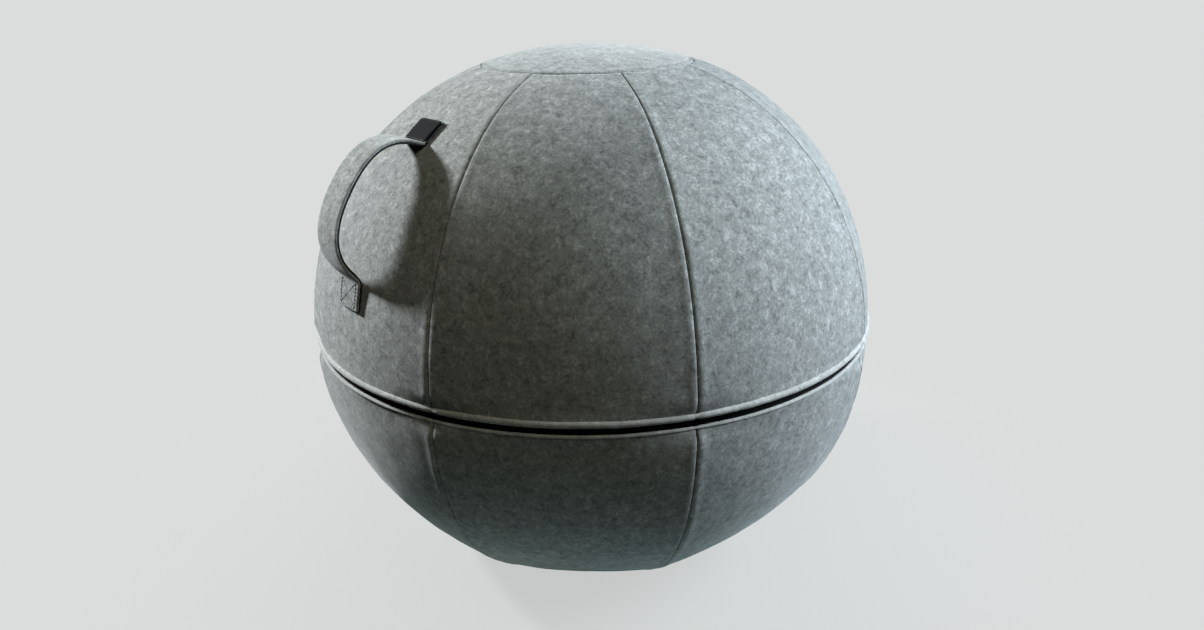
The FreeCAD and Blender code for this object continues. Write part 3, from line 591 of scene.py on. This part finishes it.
lining_web = woven_material("lining_web", (0.006, 0.006, 0.006), (0.035, 0.035, 0.035), 700, sheen=0.15)
strap = strap_layer("handle_strap", ply_gap / 2, strap_lining + 2 * ply_gap, strap_felt, felt,
                    strap_width, 0.25)
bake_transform(strap)
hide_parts("handle_grip", "handle_upper_end", "handle_lower_end")
lining = strap_layer("strap_lining", -ply_gap / 2 - strap_lining, ply_gap, strap_lining, lining_web,
                     strap_width - 0.6 * MM, 0.25)
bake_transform(lining)
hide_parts("handle_lining", "lining_upper_end", "lining_lower_end")

# Strap label
# A black woven label, left blank, covers the upper end of the strap. Its sides are bent down over
# the strap's edges, and it is sewn on with black thread.
label_length = 29 * MM
label_width = strap_width + 1.4 * MM
label_thickness = 0.8 * MM
felt_top = strap_lining + strap_felt + 2 * ply_gap
label_offset = felt_top - end_sink + ply_gap
label_middle = (end_length - label_length) / 2


def patch_frame(sign, stretch):
    """Middle of a sewn end on the gore, with its directions along, out and across."""
    start = top_at if sign > 0 else foot_at
    end = upper_end if sign > 0 else lower_end
    at = start
    while (beside_handle(at, 0) - end).length < stretch:
        at += sign * 0.0002
    middle = beside_handle(at, 0)
    along = (beside_handle(at + 1e-3, 0) - beside_handle(at - 1e-3, 0)).normalized() * sign
    out_way = Vector((abs(along.y), -along.x if along.y > 0 else along.x))
    return middle, along, out_way


def lay_on_patch(maker, sign, height, shift=0.0):
    """Puts a flat shape (x across, y along the strap, z out of it) onto a sewn end."""
    middle, along, out_way = patch_frame(sign, end_length / 2)
    for vertex in maker.verts:
        place = middle + along * (vertex.co.y + shift) + out_way * (vertex.co.z + height)
        sink = vertex.co.y**2 / (2 * 330 * MM)
        if sign < 0:
            sink += end_sink * (0.5 + vertex.co.y / end_length)**0.7
        place -= out_way * sink
        vertex.co = Vector((vertex.co.x, -place.x, place.y + belt_z))


maker = bmesh.new()
bmesh.ops.create_grid(maker, x_segments=16, y_segments=12, size=0.5)
bmesh.ops.scale(maker, vec=(label_width, label_length, 1), verts=maker.verts)
for vertex in maker.verts:
    side_share = abs(vertex.co.x) / (label_width / 2)
    end_share = abs(vertex.co.y) / (label_length / 2)
    calm = 1 - max(side_share, end_share)
    bent = 2.0 * MM * side_share**14 + 0.8 * MM * end_share**10
    vertex.co.z = 0.25 * MM * noise.noise(vertex.co * 120) * calm - bent
lay_on_patch(maker, 1, label_offset + 0.2 * MM, label_middle)
face_outwards(maker)
label_weave = woven_material("label_weave", (0.004, 0.004, 0.005), (0.014, 0.014, 0.017), 1500,
                             bump=0.3, sheen=0.0, roughness=0.9)
shader = label_weave.node_tree.nodes["Principled BSDF"]
shader.inputs["Specular IOR Level"].default_value = 0.15
label = link("strap_label", maker, label_weave)
thicken(label, "weave", label_thickness * 0.75, 1)
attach(label, "top_cover")
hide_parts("label")

# Strap and label sewing
# The lower end is sewn with a crossed box of grey thread and the label with a row round its
# edge. Each stitch is a short rounded bar that dips into the cloth at both ends.
stitch_length = 2.6 * MM
stitch_pitch = 3.4 * MM


def stitch_row(maker, start, end, thick):
    """Adds stitches between two points of a patch."""
    run = end - start
    count = max(int(run.length / stitch_pitch), 1)
    turn = Matrix.Rotation(math.atan2(run.y, run.x), 4, "Z")
    bar = Matrix.Diagonal((stitch_length, thick, thick, 1))
    for index in range(count):
        middle = start + run * ((index + 0.5) / count)
        place = Matrix.Translation((middle.x, middle.y, 0))
        bmesh.ops.create_cube(maker, size=1.0, matrix=place @ turn @ bar)


def stitched_box(name, sign, half_x, half_y, height, crossed, thick, material, shift=0.0):
    maker = bmesh.new()
    corners = [Vector((a * half_x, b * half_y)) for a, b in ((-1, -1), (1, -1), (1, 1), (-1, 1))]
    rows = [(corners[i], corners[(i + 1) % 4]) for i in range(4)]
    if crossed:
        rows += [(corners[0], corners[2]), (corners[1], corners[3])]
    for start, end in rows:
        stitch_row(maker, start, end, thick)
    bmesh.ops.bevel(maker, geom=list(maker.edges), offset=thick * 0.3, segments=1, profile=0.5,
                    affect="EDGES", material=-1)
    lay_on_patch(maker, sign, height, shift)
    bmesh.ops.recalc_face_normals(maker, faces=maker.faces)
    piece = link(name, maker, material)
    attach(piece, "top_cover")
    return piece


def thread_material(name, colour):
    material, tree, shader = new_material(name, roughness=0.6, sheen=0.2)
    place = tree.nodes.new("ShaderNodeTexCoord")
    twist = add_node(tree, "ShaderNodeTexWave", {
        "Vector": place.outputs["Object"], "Scale": 900, "Distortion": 1.5})
    # the twist's grooves are painted darker than its ridges: painted shade
    groove_shade_tone = [0.6 * part for part in colour]
    tone = two_tones(tree, twist.outputs["Fac"], groove_shade_tone, colour)
    tree.links.new(tone, shader.inputs["Base Color"])
    ply = add_node(tree, "ShaderNodeBump", {
        "Strength": 0.3, "Distance": 0.0002, "Height": twist.outputs["Fac"]})
    tree.links.new(ply.outputs["Normal"], shader.inputs["Normal"])
    return material


grey_thread = thread_material("grey_thread", (0.42, 0.43, 0.42))
black_thread = thread_material("black_thread", (0.02, 0.02, 0.022))
box_sewing = stitched_box("crossed_box_sewing", -1, strap_width / 2 - 5 * MM, end_length / 2 - 2.5 * MM,
                          felt_top, True, 0.8 * MM, grey_thread)
stitched_box("label_sewing", 1, strap_width / 2 - 2 * MM, label_length / 2 - 2 * MM,
             label_offset + label_thickness, False, 0.5 * MM, black_thread, label_middle)
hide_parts("handle_stitching")

# Zip
# A black nylon coil zip runs round the belt between the hem and the lower lip. Each coil is
# sewn to its own woven tape inside the cover.
zip_tape = woven_material("zip_tape", (0.003, 0.003, 0.003), (0.012, 0.012, 0.013), 1100, sheen=0.0)
dress("upper_zip_tape", zip_tape)
dress("lower_zip_tape", zip_tape)


def scuffed_material(name, scale, detail, polish, dark, light):
    """Hard material whose shine and tone vary a little over its surface."""
    material, tree, shader = new_material(name)
    place = tree.nodes.new("ShaderNodeTexCoord")
    scuffs = add_node(tree, "ShaderNodeTexNoise", {
        "Vector": place.outputs["Object"], "Scale": scale, "Detail": detail})
    worn = add_node(tree, "ShaderNodeMapRange", {
        "Value": scuffs.outputs["Fac"], "To Min": polish[0], "To Max": polish[1]})
    tree.links.new(worn.outputs[0], shader.inputs["Roughness"])
    tree.links.new(two_tones(tree, scuffs.outputs["Fac"], dark, light), shader.inputs["Base Color"])
    return material, shader


coil_nylon, shader = scuffed_material("coil_nylon", 400, 3, (0.6, 0.9), (0.004, 0.004, 0.005),
                                      (0.014, 0.014, 0.015))
shader.inputs["Specular IOR Level"].default_value = 0.2
coil_radius = 322.5 * MM
coil_from_belt = 1.4 * MM
tooth_size = (1.7 * MM, 1.0 * MM, 1.6 * MM)
tooth_count = 900
end_margin = 0.3
# each coil ends at its own angle in degrees from the middle of the back
for half, side, end_angle in (("upper", 1, 13.5), ("lower", -1, 9.3)):
    maker = bmesh.new()
    tooth = bmesh.ops.create_cube(maker, size=1.0)["verts"]
    bmesh.ops.scale(maker, vec=tooth_size, verts=tooth)
    for vertex in tooth:
        if vertex.co.z * side > 0:
            vertex.co.x *= 0.8
        else:
            vertex.co.y *= 1.35
    bmesh.ops.translate(maker, vec=(coil_radius, 0, belt_z + side * coil_from_belt), verts=tooth)
    start_turn = Matrix.Rotation(math.radians(90 + end_margin + end_angle), 3, "Z")
    bmesh.ops.rotate(maker, cent=(0, 0, 0), matrix=start_turn, verts=tooth)
    bmesh.ops.spin(maker, geom=list(maker.verts) + list(maker.edges) + list(maker.faces), cent=(0, 0, 0),
                   axis=(0, 0, 1), angle=math.radians(360 - 2 * (end_margin + end_angle)),
                   steps=tooth_count, use_duplicate=True)
    coil = link(f"{half}_coil", maker, coil_nylon, smooth=False)
    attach(coil, "top_cover" if side > 0 else "base_cover")
    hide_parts(f"{half}_zip_coil")

# Zip slider, pull and stops
# Black enamelled slider with a flat tab pull, and a crimped stop at each end of the zip.
enamel, shader = scuffed_material("black_enamel", 500, 4, (0.25, 0.55), (0.015, 0.015, 0.016),
                                  (0.05, 0.05, 0.052))
shader.inputs["Metallic"].default_value = 0.6
for node in ("zip_slider", "zip_pull", "zip_stops"):
    dress(node, enamel)

# Hinge strip
# At the back the cover isn't cut open: a strip of black tape behind the felt joins the halves.
# On the real cover it bends when the upper half is lifted off the ball; here it is built unbent.
strip_radius = 321.1 * MM
strip_height = 32 * MM
strip_start = math.radians(82)
strip_sweep = math.radians(16)
maker = bmesh.new()
rows = 12
path = []
for row in range(rows + 1):
    path.append(maker.verts.new((strip_radius, 0, belt_z + (row / rows - 0.5) * strip_height)))
edges = [maker.edges.new((path[row], path[row + 1])) for row in range(rows)]
to_start = Matrix.Rotation(strip_start, 3, "Z")
bmesh.ops.rotate(maker, cent=(0, 0, 0), matrix=to_start, verts=maker.verts)
bmesh.ops.spin(maker, geom=path + edges, cent=(0, 0, 0), axis=(0, 0, 1), angle=strip_sweep, steps=40)
bmesh.ops.recalc_face_normals(maker, faces=maker.faces)
hinge_strip = link("hinge_strip", maker, zip_tape)
thicken(hinge_strip, "tape", 0.8 * MM, 0)
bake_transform(hinge_strip)
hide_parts("hinge_bridge")

# Ball
# The ball is blown from thick film with a satin skin, with fine grip ribs round it. It fills the
# cover and rests on the base panel, inside the stabilising ring.
ball_radius = 318 * MM
ball_rise = 309.7 * MM
ball_drop = 274.7 * MM
ball_wall = 1.5 * MM
underside_fullness = 0.5523
maker = bmesh.new()
path = []
rows = 64
for row in range(2 * rows + 1):
    side = 1 if row >= rows else -1
    at = abs(row - rows) / rows
    tall = ball_rise if side > 0 else ball_drop
    pull = fullness if side > 0 else underside_fullness
    rest = 1 - at
    across = ball_radius * (rest**3 + 3 * rest**2 * at + 3 * pull * rest * at**2)
    up = tall * (3 * pull * rest**2 * at + 3 * rest * at**2 + at**3)
    path.append(maker.verts.new((across, 0, belt_z + side * up)))
edges = [maker.edges.new((path[row], path[row + 1])) for row in range(2 * rows)]
bmesh.ops.spin(maker, geom=path + edges, cent=(0, 0, 0), axis=(0, 0, 1), angle=2 * math.pi,
               steps=160, use_merge=True)
bmesh.ops.remove_doubles(maker, verts=maker.verts, dist=1e-6)
valve_place = Vector((0, -303.67 * MM, belt_z + 100 * MM))
valve_way = Vector((0, -0.95685, 0.29057)).normalized()
valve_hole_radius = 12 * MM
valve_patch_radius = 40 * MM
cut = [face for face in maker.faces
       if (face.calc_center_median() - valve_place).length < valve_patch_radius]
bmesh.ops.subdivide_edges(maker, edges=list({edge for face in cut for edge in face.edges}), cuts=3,
                          use_grid_fill=True)
inside = [vertex for vertex in maker.verts
          if (vertex.co - valve_place).length < valve_hole_radius + 1.5 * MM]
bmesh.ops.delete(maker, geom=inside, context="VERTS")
for vertex in maker.verts:
    away = vertex.co - valve_place
    if away.length < valve_patch_radius and vertex.is_boundary:
        flat = away - valve_way * away.dot(valve_way)
        vertex.co = valve_place + flat.normalized() * valve_hole_radius - valve_way * 0.25 * MM
face_outwards(maker)
ball_film, tree, shader = new_material("ball_film", roughness=0.38)
place = tree.nodes.new("ShaderNodeTexCoord")
ribs = add_node(tree, "ShaderNodeTexWave", {
    "Vector": place.outputs["Object"], "Scale": 40, "Distortion": 0.0}, bands_direction="Z")
grain = add_node(tree, "ShaderNodeTexNoise", {
    "Vector": place.outputs["Object"], "Scale": 300, "Detail": 2})
tone = two_tones(tree, grain.outputs["Fac"], (0.17, 0.18, 0.19), (0.24, 0.25, 0.26))
tree.links.new(tone, shader.inputs["Base Color"])
ridge = add_node(tree, "ShaderNodeBump", {
    "Strength": 0.25, "Distance": 0.0006, "Height": ribs.outputs["Fac"]})
tree.links.new(ridge.outputs["Normal"], shader.inputs["Normal"])
ball = link("inflated_ball", maker, ball_film)
thicken(ball, "film", ball_wall, -1)
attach(ball, "base_cover")
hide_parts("ball")

# Valve
# A soft moulded seat is welded into the film, and a white plug with a flat head is pushed in.
for node, colour, rough in (("valve_seat", (0.18, 0.185, 0.19), 0.5),
                            ("valve_plug", (0.75, 0.75, 0.73), 0.4)):
    moulded, tree, shader = new_material(node + "_moulding", roughness=rough)
    place = tree.nodes.new("ShaderNodeTexCoord")
    skin = add_node(tree, "ShaderNodeTexNoise", {
        "Vector": place.outputs["Object"], "Scale": 700, "Detail": 3})
    duller = [0.88 * part for part in colour]
    tree.links.new(two_tones(tree, skin.outputs["Fac"], duller, colour), shader.inputs["Base Color"])
    pores = add_node(tree, "ShaderNodeBump", {
        "Strength": 0.15, "Distance": 0.0002, "Height": skin.outputs["Fac"]})
    tree.links.new(pores.outputs["Normal"], shader.inputs["Normal"])
    dress(node, moulded)

# Stabilising ring
# A ring of dense foam in a sewn sleeve of the base cloth lies on the base panel, so the ball
# doesn't roll. The sleeve is gathered a little where it bends.
ring_radius = base_disc_radius - 6.5 * MM
ring_tube = 10 * MM
ring_height = felt_thickness + 0.3 * MM + ring_tube
ring_gathers = 60
maker = tube_ring(ring_radius, ring_height, ring_tube, 28, 240)
for vertex in maker.verts:
    angle = math.atan2(vertex.co.y, vertex.co.x)
    middle = Vector((math.cos(angle) * ring_radius, math.sin(angle) * ring_radius, ring_height))
    gather = 1 - 0.02 * (1 + math.sin(angle * ring_gathers)) - 0.01 * noise.noise(vertex.co * 90)
    vertex.co = middle + (vertex.co - middle) * gather
bmesh.ops.recalc_face_normals(maker, faces=maker.faces)
ring_sleeve = link("ring_sleeve", maker, base_cloth)
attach(ring_sleeve, "base_cover")
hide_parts("base_ring_sleeve")
foam, tree, shader = new_material("ring_foam", roughness=0.95)
place = tree.nodes.new("ShaderNodeTexCoord")
cells = add_node(tree, "ShaderNodeTexVoronoi", {"Vector": place.outputs["Object"], "Scale": 900})
tone = two_tones(tree, cells.outputs["Distance"], (0.03, 0.03, 0.03), (0.09, 0.09, 0.09))
tree.links.new(tone, shader.inputs["Base Color"])
dress("base_ring_core", foam)

# Seam threads
# Dark grey polyester thread lies deep in every seam, where the turned felt edges meet.
seam_thread = thread_material("seam_thread", (0.035, 0.037, 0.037))
for node in ("upper_seam_threads", "lower_seam_threads", "disc_seam_thread", "base_seam_thread"):
    dress(node, seam_thread)

# Studio
# A pale floor runs into a backdrop of the same grey. A small hard lamp stands at the left and a
# broad one at the right, both beside the ball, and a weak one above the camera lifts the front.
# Close round the ball the floor throws some light back up under it.
backdrop_colour = (0.708, 0.723, 0.716)
maker = bmesh.new()
bmesh.ops.create_circle(maker, cap_ends=True, segments=64, radius=14.0)
floor_paint = bpy.data.materials.new("floor_paint")
floor_paint.use_nodes = True
tree = floor_paint.node_tree
tree.nodes.clear()
path_kind = tree.nodes.new("ShaderNodeLightPath")
seen = path_kind.outputs["Is Camera Ray"]
place = tree.nodes.new("ShaderNodeTexCoord")
away = add_node(tree, "ShaderNodeVectorMath", {0: place.outputs["Object"]}, operation="LENGTH")
far_share = add_node(tree, "ShaderNodeMapRange", {
    "Value": away.outputs["Value"], "From Min": 0.2, "From Max": 0.75, "To Min": 0.8, "To Max": 1.0},
    interpolation_type="SMOOTHSTEP")
lit_floor = add_node(tree, "ShaderNodeBsdfDiffuse", {"Color": (0.5, 0.51, 0.505, 1)})
bounce = add_node(tree, "ShaderNodeMapRange", {
    "Value": away.outputs["Value"], "From Min": 0.25, "From Max": 0.52, "To Min": 0.62, "To Max": 0.0})
tinted = add_node(tree, "ShaderNodeMix", {
    0: bounce.outputs[0], 6: (0, 0, 0, 1), 7: (0.84, 1.0, 0.97, 1)}, data_type="RGBA")
dim_floor = add_node(tree, "ShaderNodeBsdfDiffuse", {"Color": tinted.outputs[2]})
pale_floor = add_node(tree, "ShaderNodeEmission", {"Color": (*backdrop_colour, 1), "Strength": 1.0})
shown = add_node(tree, "ShaderNodeMixShader", {
    0: far_share.outputs[0], 1: lit_floor.outputs[0], 2: pale_floor.outputs[0]})
either = add_node(tree, "ShaderNodeMixShader", {
    0: seen, 1: dim_floor.outputs[0], 2: shown.outputs[0]})
add_node(tree, "ShaderNodeOutputMaterial", {"Surface": either.outputs[0]})
floor = link("floor", maker, floor_paint, smooth=False)

world = bpy.data.worlds.new("studio")
world.use_nodes = True
scene.world = world
tree = world.node_tree
tree.nodes.clear()
path_kind = tree.nodes.new("ShaderNodeLightPath")
seen = path_kind.outputs["Is Camera Ray"]
fill = add_node(tree, "ShaderNodeBackground", {"Color": (0.9, 1.0, 0.72, 1), "Strength": 0.025})
shown = add_node(tree, "ShaderNodeBackground", {"Color": (*backdrop_colour, 1), "Strength": 1.0})
either = add_node(tree, "ShaderNodeMixShader", {0: seen, 1: fill.outputs[0], 2: shown.outputs[0]})
add_node(tree, "ShaderNodeOutputWorld", {"Surface": either.outputs[0]})


def lamp(name, side_from_camera, rise, away, size, power, colour):
    """Area lamp aimed at the ball, placed by its side from the camera and its height angle."""
    data = bpy.data.lights.new(name, "AREA")
    data.shape = "DISK"
    data.size = size
    data.energy = power
    data.color = colour
    lit = bpy.data.objects.new(name, data)
    side = camera_side + math.radians(side_from_camera)
    tilt = math.radians(rise)
    way = Vector((math.cos(side) * math.cos(tilt), math.sin(side) * math.cos(tilt), math.sin(tilt)))
    lit.location = Vector((0, 0, 0.3)) + way * away
    lit.rotation_mode = "QUATERNION"
    lit.rotation_quaternion = way.to_track_quat("Z", "Y")
    scene.collection.objects.link(lit)


lamp("left_lamp", -111, 27, 2.2, 0.22, 72, (0.95, 0.99, 1.0))
lamp("right_lamp", 91, 27, 1.9, 1.1, 65, (0.8, 0.906, 1.0))
lamp("overhead_lamp", 10, 60, 2.8, 1.4, 11, (1.0, 0.96, 0.74))
